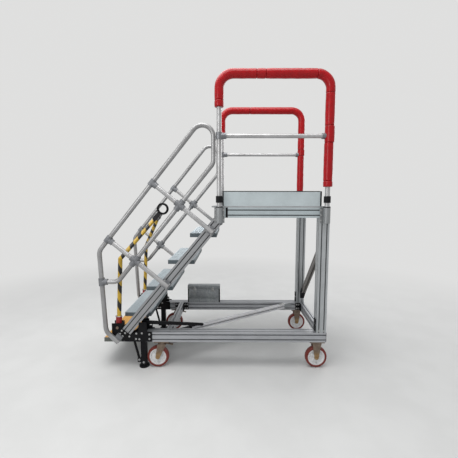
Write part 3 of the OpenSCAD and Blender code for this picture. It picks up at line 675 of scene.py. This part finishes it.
# %% Bolts of the brackets and beams
CASTOR_PLATE_Z = 0.245
REAR_AXLE_X = 0.948
bracket_spots = [(x, z) for x in (-0.492, -0.468, -0.386, -0.362, 0.937, 0.961)
                 for z in (RAIL_Z - LIGHT_HALF, RAIL_Z + LIGHT_HALF)]
bolts("bracket_bolts", mirrored(on_face(-INNER_FACE, 1.0, bracket_spots)), "frame", 0.0068)
rail_places = [((FRONT + f, -RAIL_MIDDLE - LIGHT_HALF, RAIL_TOP), (0.0, 0.0, 1.0))
               for f in (0.505, 0.655, 1.420, 1.900)]
upright_spots = [(UPRIGHT_X - LIGHT_HALF, 0.364), (UPRIGHT_X + LIGHT_HALF, 0.364)]
bolts("rail_bolts", mirrored(rail_places + on_face(-SIDE, -1.0, upright_spots)), "frame", 0.0062)
castor_places = [((x + dx, -RAIL_MIDDLE + dy, CASTOR_PLATE_Z), (0.0, 0.0, -1.0))
                 for x in (FRONT + 0.563, REAR_AXLE_X) for dx in (-0.052, 0.052)
                 for dy in (-0.032, 0.032)]
bolts("castor_plate_bolts", mirrored(castor_places), "frame", 0.0070)

# %% Bolts that move
LEG_AT, LINK_LOW, LINK_HIGH = (0.391, 0.046), (0.346, 0.062), (0.299, 0.254)
for side, sign in SIDES:
    leg = on_face(sign * 0.430, sign, [(FRONT + LEG_AT[0], LEG_AT[1])])
    link = on_face(sign * 0.4155, sign, [(FRONT + f, z) for f, z in (LINK_LOW, LINK_HIGH)])
    bolts("jack_bolts_" + side, leg + link, "jack_" + side, 0.0075)

TOW_FOOT_X, TOW_FOOT_Z = FRONT + 0.164, 0.388
KNEE_OUT, KNEE_Z = 0.033, 1.020
HEAD_LEAN, HEAD_REACH, HEAD_PLATE_HALF = math.radians(34.0), 0.460, 0.0215
tow_up = np.array([math.sin(HEAD_LEAN), 0.0, math.cos(HEAD_LEAN)])
tow_across = np.array([math.cos(HEAD_LEAN), 0.0, -math.sin(HEAD_LEAN)])
tow_top = np.array([TOW_FOOT_X + KNEE_OUT, 0.0, KNEE_Z]) + HEAD_REACH * tow_up
HEAD_BOLTS = ((-0.034, 0.006), (0.0, 0.008), (0.034, 0.006), (-0.055, -0.028), (0.055, -0.028))
tow_places = [(tow_top + out * HEAD_PLATE_HALF * tow_across + np.array([0.0, y, 0.0]) + t * tow_up,
               out * tow_across) for out in (-1.0, 1.0) for y, t in HEAD_BOLTS]
bolts("tow_head_bolts", tow_places, "tow_bar", 0.0070)

# %% [markdown]
# ## The foam sleeves
#
# The top of each guardrail wears a red foam sleeve, in lengths pushed together: a skin over soft
# foam, slit along its inner side, with small folds where it goes round a bend. Each length is a
# round tube swept along the rail's own line. Its ends roll in, so the joints read as dark rings,
# and its middle swells a little. One object holds one side's lengths.

# %% Line of the sleeve
POST_FRONT, POST_REAR = 0.050, UPRIGHT_X
GUARD_Y, GUARD_TOP, GUARD_BEND = 0.498, 2.595, 0.120
SLEEVE_START, SLEEVE_END = 2.325, 1.665
TURN = GUARD_BEND * math.pi / 2
BEND_Z = GUARD_TOP - GUARD_BEND
REACHES = np.cumsum([0.0, BEND_Z - SLEEVE_START, TURN, POST_REAR - POST_FRONT - 2 * GUARD_BEND, TURN,
                     BEND_Z - SLEEVE_END])

def sleeve_line(s):
    """x, z and direction at length s: up the front post, a quarter turn, along the top, a quarter
    turn, and down the rear post. The direction angle is pi/2 going up, 0 along, -pi/2 going down."""
    first = np.clip((s - REACHES[1]) / TURN, 0.0, 1.0)
    second = np.clip((s - REACHES[3]) / TURN, 0.0, 1.0)
    angle = math.pi / 2 * (1.0 - first - second)
    up = np.clip(s, None, REACHES[1])
    flat = np.clip(s - REACHES[2], 0.0, REACHES[3] - REACHES[2])
    down = np.clip(s - REACHES[4], 0.0, None)
    x = np.where(angle < 0, POST_REAR - GUARD_BEND + GUARD_BEND * np.sin(-angle),
                 POST_FRONT + GUARD_BEND * (1.0 - np.sin(angle)) + flat)
    z = np.where(angle < 0, BEND_Z + GUARD_BEND * np.cos(angle) - down,
                 SLEEVE_START + up + GUARD_BEND * np.cos(angle))
    return x, z, angle

for s, x, z in zip(REACHES, *sleeve_line(REACHES)[:2]):
    print("sleeve at", round(float(s), 3), "x", round(float(x), 3), "z", round(float(z), 3))

# %% One length of foam
AROUND = 44
RING_STEP = 0.0045
ROLL_LONG, ROLL_DEEP = 0.007, 0.006
BORE, MOUTH = 0.0205, 0.0240
SWELL, RIPPLE = 0.0008, 0.0004
FOLD_DEEP, FOLD_PITCH = 0.0011, 0.0135
SLIT_AT, SLIT_WIDE, SLIT_DEEP = 0.055, 0.05, 0.0025

def foam_length(start, end, radius, shift, side, seed):
    """Rings along the line. Radius = full radius - a quarter-circle roll 7 mm long and 6 mm deep at
    each end + a swell of 0.8 mm in the middle + a ripple of 0.4 mm - folds of 1.1 mm every 13.5 mm
    on the inside of a bend - a slit 2.5 mm deep. The last two rings at each end close on the rail."""
    roll = np.linspace(0.0, 1.0, 6) ** 1.6 * ROLL_LONG
    middle = np.linspace(start + ROLL_LONG + 0.0005, end - ROLL_LONG - 0.0005,
                         max(4, int((end - start) / RING_STEP)))
    s = np.concatenate([[start, start], start + roll, middle, (end - roll)[::-1], [end, end]])
    x, z, angle = sleeve_line(s)
    depth = np.clip(np.minimum(s - start, end - s) / ROLL_LONG, 0.0, 1.0)
    part = np.clip((s - start) / (end - start), 0.0, 1.0)
    size = radius - ROLL_DEEP * (1.0 - np.sqrt(1.0 - (1.0 - depth) ** 2))
    size = size + SWELL * np.sin(math.pi * part) + RIPPLE * np.sin(s * 61.0 + seed)
    size[[0, -1]] = BORE
    size[[1, -2]] = MOUTH
    theta = np.linspace(0.0, 2 * math.pi, AROUND, endpoint=False)
    theta = theta - 0.175 * np.sin(theta)
    inner_side = np.clip(np.cos(theta), 0.0, 1.0) ** 1.5
    bent = sum(np.sin(np.clip((s - REACHES[k]) / TURN, 0.0, 1.0) * math.pi) for k in (1, 3))
    wave = 0.5 + 0.5 * np.cos(s * 2 * math.pi / FOLD_PITCH)
    folds = FOLD_DEEP * bent[:, None] * inner_side * wave[:, None]
    slit = SLIT_DEEP * np.exp(-((theta - SLIT_AT) / SLIT_WIDE) ** 2) * (depth > 0.9)[:, None]
    r = size[:, None] - (folds + slit) * (size > MOUTH)[:, None]
    n_x, n_z = np.sin(angle), -np.cos(angle)
    points = np.stack([x[:, None] + shift[0] + r * np.cos(theta) * n_x[:, None],
                       side * GUARD_Y + r * np.sin(theta),
                       z[:, None] + shift[1] + r * np.cos(theta) * n_z[:, None]], axis=-1)
    return points.reshape(-1, 3), stack_faces(len(s), AROUND)

def top_at(x):
    """Length along the line at x on the top."""
    return REACHES[2] + x - POST_FRONT - GUARD_BEND

def rear_at(z):
    """Length along the line at z on the rear post."""
    return REACHES[4] + BEND_Z - z

# %% Foam finish
def sleeve_skin():
    """A glossy skin over foam: fine goose-pimples, slow dents, scuffs that have gone dull."""
    finish = Finish("sleeve_skin", Metallic=0.0, Specular_IOR_Level=0.25)
    dents = finish.noise(26.0, 4.0, 0.55)
    pimples = finish.noise(520.0, 2.0, 0.5)
    scuffs = finish.grade(finish.noise(60.0, 6.0, 0.7), 0.62, 0.74)
    red = finish.ramp(dents, (0.30, (0.285, 0.0022, 0.0048)), (0.70, (0.345, 0.0035, 0.0068)))
    finish.set(Base_Color=finish.mix(scuffs * 0.12, red, (0.36, 0.030, 0.035)),
               Roughness=scuffs * 0.22 + dents * 0.10 + 0.20)
    return finish.bump(pimples * 0.06 + dents, 0.14, 0.0012)

foam_red = sleeve_skin()
JOINT_GAP = 0.0004
SLEEVES = {
    "near": [0.0, 0.054, top_at(0.362), top_at(0.439), top_at(0.866), rear_at(2.440),
             rear_at(2.173), rear_at(2.034), rear_at(1.715), REACHES[5]],
    "far": [0.0, 0.042, top_at(0.374), rear_at(2.267), rear_at(2.148), rear_at(2.079), REACHES[5]],
}
PLAIN_LENGTH = (0.0385, (0.0, 0.0))
ODD_LENGTHS = {  # radius, and how far it sits off the rail's line in x and z
    ("near", 3): (0.0390, (0.0, 0.0004)), ("near", 6): (0.0402, (0.0025, 0.0)),
    ("near", 7): (0.0380, (-0.0012, 0.0)), ("far", 4): (0.0400, (0.0020, 0.0)),
    ("far", 5): (0.0379, (-0.001, 0.0))}
for side, sign in SIDES:
    joints = SLEEVES[side]
    lengths = [foam_length(a + JOINT_GAP, b - JOINT_GAP, *ODD_LENGTHS.get((side, k), PLAIN_LENGTH),
                           sign, 1.7 * k)
               for k, (a, b) in enumerate(zip(joints, joints[1:]))]
    sleeve = piece("sleeve_" + side, lengths, "frame", foam_red)
    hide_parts("foam_sleeve_" + side)

# %% [markdown]
# ## Knobs on the treads
#
# The planks have rows of small raised teeth that grip a shoe. There are over a thousand on each
# tread, so one tooth is a four-sided frustum with six faces, and all its copies are one array
# sum: every tooth's corners are the template plus its place.

# %% Tread teeth
TREAD_LENGTH = 0.245
GROOVES = 9
TOOTH_HALF, TOOTH_HIGH, TOOTH_SUNK = 0.0036, 0.0016, 0.0004
TOOTH_PITCH, EDGE_MARGIN = 0.012, 0.014
TOOTH_FACES = np.array([(3, 2, 1, 0), (4, 5, 6, 7), (0, 1, 5, 4), (1, 2, 6, 5), (2, 3, 7, 6),
                        (3, 0, 4, 7)])

def teeth(places):
    """Frustums on `places`: base corners 3.6 mm out and top corners at half of that."""
    square = np.array([(-1, -1), (1, -1), (1, 1), (-1, 1)], float)
    template = np.concatenate([np.column_stack([square * TOOTH_HALF, np.full(4, -TOOTH_SUNK)]),
                               np.column_stack([square * TOOTH_HALF * 0.5, np.full(4, TOOTH_HIGH)])])
    points = (places[:, None, :] + template).reshape(-1, 3)
    faces = TOOTH_FACES + 8 * np.arange(len(places))[:, None, None]
    return points, faces.reshape(-1, 4).tolist()

def tooth_places(step, half_width):
    """Two rows on each land between the grooves, 12 mm apart along the tread, every other row
    moved on by half of that."""
    land = TREAD_LENGTH / (GROOVES + 1)
    rows = (np.arange(GROOVES + 1)[:, None] * land + np.array([0.28, 0.72]) * land).ravel()
    across = np.arange(-half_width + EDGE_MARGIN, half_width - EDGE_MARGIN, TOOTH_PITCH)
    odd_row = np.repeat(np.arange(len(rows)) % 2, len(across))
    x = np.repeat(rows, len(across))
    y = np.tile(across, len(rows)) + odd_row * (TOOTH_PITCH / 2)
    return np.column_stack([FRONT + (step - 1) * RUN + x, y, np.full(len(x), step * RISE)])

tread_teeth = [teeth(tooth_places(step, INNER)) for step in range(2, 6)]
first_teeth = [teeth(tooth_places(1, INNER - 0.008))]
piece("tread_teeth", tread_teeth, "frame", tread_metal, smooth=False)
piece("first_tread_teeth", first_teeth, "frame", yellow_step, smooth=False)

# %% [markdown]
# ## Caps on the profile ends
#
# A cut profile is sharp and open, so each end wears a moulded cap: a rounded plate with a shallow
# rim. The base rails show them at both ends. A black edging covers the toe boards' sharp tops.

# %% End caps
CAP_HALF, RIM_HALF, CAP_CORNER = 0.0446, 0.0380, 0.003

def end_cap(middle, half, low, high):
    """A square cap on a base rail, from x = low to x = high."""
    square = oblong(middle - half, middle + half, RAIL_Z - half, RAIL_Z + half, CAP_CORNER)
    return plate(square, low, high, 0)

rail_caps = []
for middle in (-RAIL_MIDDLE, RAIL_MIDDLE):
    rail_caps += [end_cap(middle, CAP_HALF, FRONT + 0.4195, FRONT + 0.4235),
                  end_cap(middle, RIM_HALF, FRONT + 0.4185, FRONT + 0.4205),
                  end_cap(middle, CAP_HALF, REAR - 0.0002, REAR + 0.0036)]
piece("rail_end_caps", rail_caps, "frame", black_plastic)

# %% Edging of the toe boards
EDGING_X, EDGING_Y, EDGING_Z = (0.0885, 0.9325), (0.4368, 0.4512), (1.6245, 1.6312)
edging = [plate(oblong(*EDGING_X, *sorted(side * y for y in EDGING_Y), 0.002), *EDGING_Z, 2)
          for side in (-1.0, 1.0)]
piece("toe_board_edging", edging, "frame", black_plastic)

# %% [markdown]
# ## The tool box
#
# The flat box on the far rail is folded from galvanised sheet, with a lid that overhangs, black
# edge strips, two latches on its inner face and a row of rivets along its foot.

# %% Tool box trim
BOX_X0, BOX_X1, BOX_Y, BOX_Z0, BOX_Z1 = FRONT + 0.693, FRONT + 1.074, 0.364, 0.345, 0.545
OVERHANG = 0.0015
LID_OUT, STRIP_OUT, PANEL_OUT, HASP_OUT, HOOK_OUT = 0.0032, 0.0024, 0.0016, 0.0062, 0.0080
STRIP_WIDE = 0.013
RIVETS = 14

def on_box(x0, x1, z0, z1, corner, out, sunk=0.001):
    """A plate on the box's inner face, `out` in front of it and `sunk` behind."""
    return plate(oblong(x0, x1, z0, z1, corner), BOX_Y - out, BOX_Y + sunk)

lid_x = (BOX_X0 - OVERHANG, BOX_X1 + OVERHANG)
lid = [on_box(*lid_x, BOX_Z1 - 0.034, BOX_Z1 + 0.001, 0.003, LID_OUT),
       plate(oblong(*lid_x, BOX_Y - LID_OUT, 0.4475, 0.003), BOX_Z1 - 0.001, BOX_Z1 + 0.0022, 2),
       on_box(BOX_X0 + 0.020, BOX_X1 - 0.020, BOX_Z0 + 0.045, BOX_Z1 - 0.052, 0.006, PANEL_OUT)]
piece("tool_box_lid", lid, "frame", sheet)
strips = [on_box(x, x + STRIP_WIDE, BOX_Z0 + 0.001, BOX_Z1 - 0.035, 0.002, STRIP_OUT)
          for x in (BOX_X0 + 0.0005, BOX_X1 - 0.0005 - STRIP_WIDE)]
piece("tool_box_strips", strips, "frame", black_plastic)
latch_pin = turned([0.0042, 0.0042, 0.0034], [0.0, 0.0022, 0.0030], 14)
latches = []
for x in (BOX_X0 + 0.085, BOX_X1 - 0.085):
    latches += [on_box(x - 0.017, x + 0.017, BOX_Z1 - 0.066, BOX_Z1 - 0.030, 0.005, HASP_OUT, 0.0),
                on_box(x - 0.010, x + 0.010, BOX_Z1 - 0.034, BOX_Z1 - 0.012, 0.004, HOOK_OUT, 0.0),
                placed(latch_pin, (x, BOX_Y - 0.006, BOX_Z1 - 0.054), (0, -1, 0))]
piece("tool_box_latches", latches, "frame", bolt_metal)
rivet = turned([0.0048, 0.0046, 0.0034, 0.0012], [-0.0004, 0.0008, 0.0019, 0.0024], 10)
rivets = [placed(rivet, (x, BOX_Y, BOX_Z0 + 0.014), (0, -1, 0))
          for x in np.linspace(BOX_X0 + 0.024, BOX_X1 - 0.024, RIVETS)]
piece("tool_box_rivets", rivets, "frame", bolt_metal)

# %% [markdown]
# ## Hinges of the braces
#
# Each brace ends in a bracket with a pin. The pin's heads and the bracket's cheeks are what the
# eye finds, so these are turned and bevelled plates over the plain shoes of the CAD model.

# %% Brace hinges
CHEEK_THICK, CHEEK_NARROW, CHEEK_WIDE = 0.0036, 0.017, 0.021
PIN_HALF, PIN_RADIUS = 0.0262, 0.006
half_pin = [PIN_HALF + dome for dome in (0.0, 0.0, 0.0030, 0.0045)]
pin = turned([PIN_RADIUS * k for k in (0.8, 1.5, 1.6, 1.0, 1.0, 1.6, 1.5, 0.8)],
             [-h for h in half_pin[::-1]] + half_pin, 16)

def hinge(at, out, way, axis, face, levels, inward, outward, eye):
    """Two cheeks and a turned pin with domed heads, at one end of a brace whose line lies square to
    an axis. `out` is -1 at the start of the line and 1 at its end. `face` is the height of the
    brace's face along the axis, and the cheeks lie `levels` below it."""
    side = np.array([-way[1], way[0]])
    a, b = at - out * inward * way, at + out * outward * way
    corners = [a + CHEEK_NARROW * side, a - CHEEK_NARROW * side,
               b - CHEEK_WIDE * side, b + CHEEK_WIDE * side]
    cheeks = [plate(corners, face - below, face - below + CHEEK_THICK, axis) for below in levels]
    middle = np.insert(at + out * eye * way, axis, face - LIGHT_HALF)
    return cheeks + [placed(pin, middle, np.eye(3)[axis])]

hinge_parts, light_parts = [], []
for at, out, parts in ((BRACE_A, -1.0, hinge_parts), (BRACE_B, 1.0, light_parts)):
    parts += hinge(at, out, BRACE_WAY, 2, RAIL_TOP, (0.0002, 0.0478), 0.062, 0.020, 0.008)
    for back in (0.026, 0.050):
        head = (*(at - out * back * BRACE_WAY), RAIL_TOP + 0.0034)
        parts.append(placed(BOLT, head, (0, 0, 1), 0.0055))
piece("base_brace_hinge", hinge_parts, "frame", black_steel)
piece("base_brace_foot", light_parts, "frame", bolt_metal)

rear_parts = []
for at, out in ((REAR_A, -1.0), (REAR_B, 1.0)):
    rear_parts += hinge(at, out, REAR_WAY, 0, REAR, (0.0488, 0.0002), 0.060, 0.016, 0.004)
piece("rear_brace_hinges", rear_parts, "frame", black_steel)

# %% [markdown]
# ## Wheels close up
#
# Each hub has spokes of thicker nylon and a bearing with a seal. They are made about the axle
# and ride on their wheel, so they roll with it.

# %% Wheel details
AXLE_Z = 0.100
RIBS = 8
RIB_FLOOR = 0.0090
RIB_ENDS = ((0.0290, 0.0030, 0.0180), (0.0640, 0.0022, 0.0178))
RIB_FACES = [(0, 2, 3, 1), (4, 5, 7, 6), (0, 1, 5, 4), (2, 6, 7, 3), (1, 3, 7, 5), (0, 4, 6, 2)]
seal = turned([0.0120, 0.0215, 0.0212, 0.0185, 0.0150, 0.0120],
              [0.0270, 0.0270, 0.0288, 0.0296, 0.0296, 0.0286], 24)

def rib(axle, out, turn):
    """A wedge along a spoke. RIB_ENDS gives, for each end, its distance from the axle, its half
    width and the height of its top; out is the side of the wheel."""
    along = np.array([math.cos(turn), 0.0, math.sin(turn)])
    across = np.array([-math.sin(turn), 0.0, math.cos(turn)])
    corners = [axle + along * distance + across * w + np.array([0.0, out * y, 0.0])
               for distance, half, top in RIB_ENDS for w in (-half, half) for y in (RIB_FLOOR, top)]
    return np.array(corners), RIB_FACES

for end, axle_x in (("front", FRONT + 0.523), ("rear", REAR_AXLE_X)):
    for side, sign in SIDES:
        corner = end + "_" + side
        axle = np.array([axle_x, sign * RAIL_MIDDLE, AXLE_Z])
        seals = [placed(seal, axle, (0, out, 0)) for out in (-1.0, 1.0)]
        ribs = [rib(axle, out, k * 2 * math.pi / RIBS) for out in (-1.0, 1.0) for k in range(RIBS)]
        piece("wheel_seals_" + corner, seals, "wheel_" + corner, black_plastic)
        piece("wheel_ribs_" + corner, ribs, "wheel_" + corner, hub_finish, smooth=False)

# %% [markdown]
# ## Small fittings of the tow bar
#
# A bright clip ring holds each red cap on its tube, and a white bush shows under it.

# %% Cap rings
CLIP_UP, SCREW_UP, BUSH_UP = 0.0935, 0.0965, 0.0165
TOW_FOOT_Y, SCREW_AHEAD = 0.412, 0.029
LEG_LEAN = math.atan2(KNEE_OUT, KNEE_Z - TOW_FOOT_Z)
leg = np.array([math.sin(LEG_LEAN), 0.0, math.cos(LEG_LEAN)])
clip = turned([0.0192, 0.0246, 0.0250, 0.0246, 0.0192], [0.0, 0.0, 0.0030, 0.0060, 0.0060], 28)
screw = turned([0.0060, 0.0060, 0.0048], [-0.006, 0.005, 0.007], 12)
bush = turned([0.0225, 0.0236, 0.0236, 0.0225], [0.0, 0.0010, 0.0050, 0.0060], 28)
for side, sign in SIDES:
    foot = np.array([TOW_FOOT_X, sign * TOW_FOOT_Y, TOW_FOOT_Z])
    beside = foot + SCREW_UP * leg - np.array([SCREW_AHEAD, 0.0, 0.0])
    clip_parts = [placed(clip, foot + CLIP_UP * leg, leg), placed(screw, beside, (0, sign, 0))]
    piece("cap_clip_" + side, clip_parts, "tow_bar", bolt_metal)
    bush_parts = [placed(bush, foot + BUSH_UP * leg, leg)]
    piece("cap_bush_" + side, bush_parts, "tow_bar", hub_finish)

# %% [markdown]
# ## Floor, backdrop and light
#
# A pale floor with a soft box above and weaker ones at the camera's side and behind gives
# the even daylight of the photograph. The world fills the shadows. The camera and reflections see
# the world as nearly white through Light Path, so the backdrop is bright without lighting the
# object more. Far out the floor takes on that white too.

# %% Studio
FLOOR_HALF, NEAR_FLOOR, FAR_FLOOR = 60.0, 1.7, 5.5
BACKDROP = (0.74, 0.74, 0.735)
floor_mesh = bpy.data.meshes.new("studio_floor")
floor_mesh.from_pydata([(x * FLOOR_HALF, y * FLOOR_HALF, 0.0)
                        for x, y in ((-1, -1), (1, -1), (1, 1), (-1, 1))], [], [(0, 1, 2, 3)])
studio_floor = linked("studio_floor", floor_mesh)
ground = Finish("studio_floor", Roughness=0.9)
ground.set(Base_Color=ground.ramp(ground.noise(3.0), (0.4, (0.56, 0.56, 0.55)),
                                  (0.6, (0.58, 0.58, 0.57))))
away = ground.node("VectorMath", {0: ground.place}, "Value", operation="LENGTH")
glow = ground.node("Emission", {"Color": (*BACKDROP, 1.0), "Strength": 1.0})
blended = ground.node("MixShader", {0: ground.grade(away, NEAR_FLOOR, FAR_FLOOR),
                                    1: Wire(ground, ground.shader.outputs[0]), 2: glow})
ground.put(ground.tree.nodes["Material Output"].inputs["Surface"], blended)
floor_mesh.materials.append(ground.material)

def soft_box(name, at, target, size, watts):
    lamp = bpy.data.lights.new(name, "AREA")
    lamp.shape = "RECTANGLE"
    lamp.size, lamp.size_y = size
    lamp.energy = watts
    aim = (Vector(target) - Vector(at)).to_track_quat("-Z", "Y")
    linked(name, lamp).matrix_world = Matrix.Translation(at) @ aim.to_matrix().to_4x4()

soft_box("sky_box", (-0.6, -0.6, 5.2), (0.0, 0.0, 1.0), (5.0, 4.0), 250.0)
soft_box("side_box", (-3.2, -4.6, 2.8), (0.0, 0.0, 1.2), (2.6, 2.6), 75.0)
soft_box("far_box", (3.4, 3.6, 3.2), (0.2, 0.0, 1.3), (2.4, 2.4), 60.0)

world = bpy.data.worlds.new("studio_world")
bpy.context.scene.world = world
world.use_nodes = True
light = world.node_tree.nodes["Background"]
light.inputs["Color"].default_value = (0.92, 0.94, 0.97, 1.0)
light.inputs["Strength"].default_value = 0.52
sky = Graph(world.node_tree)
seen = sky.node("Background", {"Color": (*BACKDROP, 1.0)})
rays = sky.node("LightPath", {}).socket.node
direct, glossy, through = (Wire(sky, rays.outputs["Is %s Ray" % kind])
                           for kind in ("Camera", "Glossy", "Transmission"))
shown = direct.maths("MAXIMUM", glossy).maths("MAXIMUM", through)
either = sky.node("MixShader", {0: shown, 1: Wire(sky, light.outputs[0]), 2: seen})
sky.put(world.node_tree.nodes["World Output"].inputs["Surface"], either)
bpy.context.scene.view_settings.view_transform = "Standard"
print("studio ready")
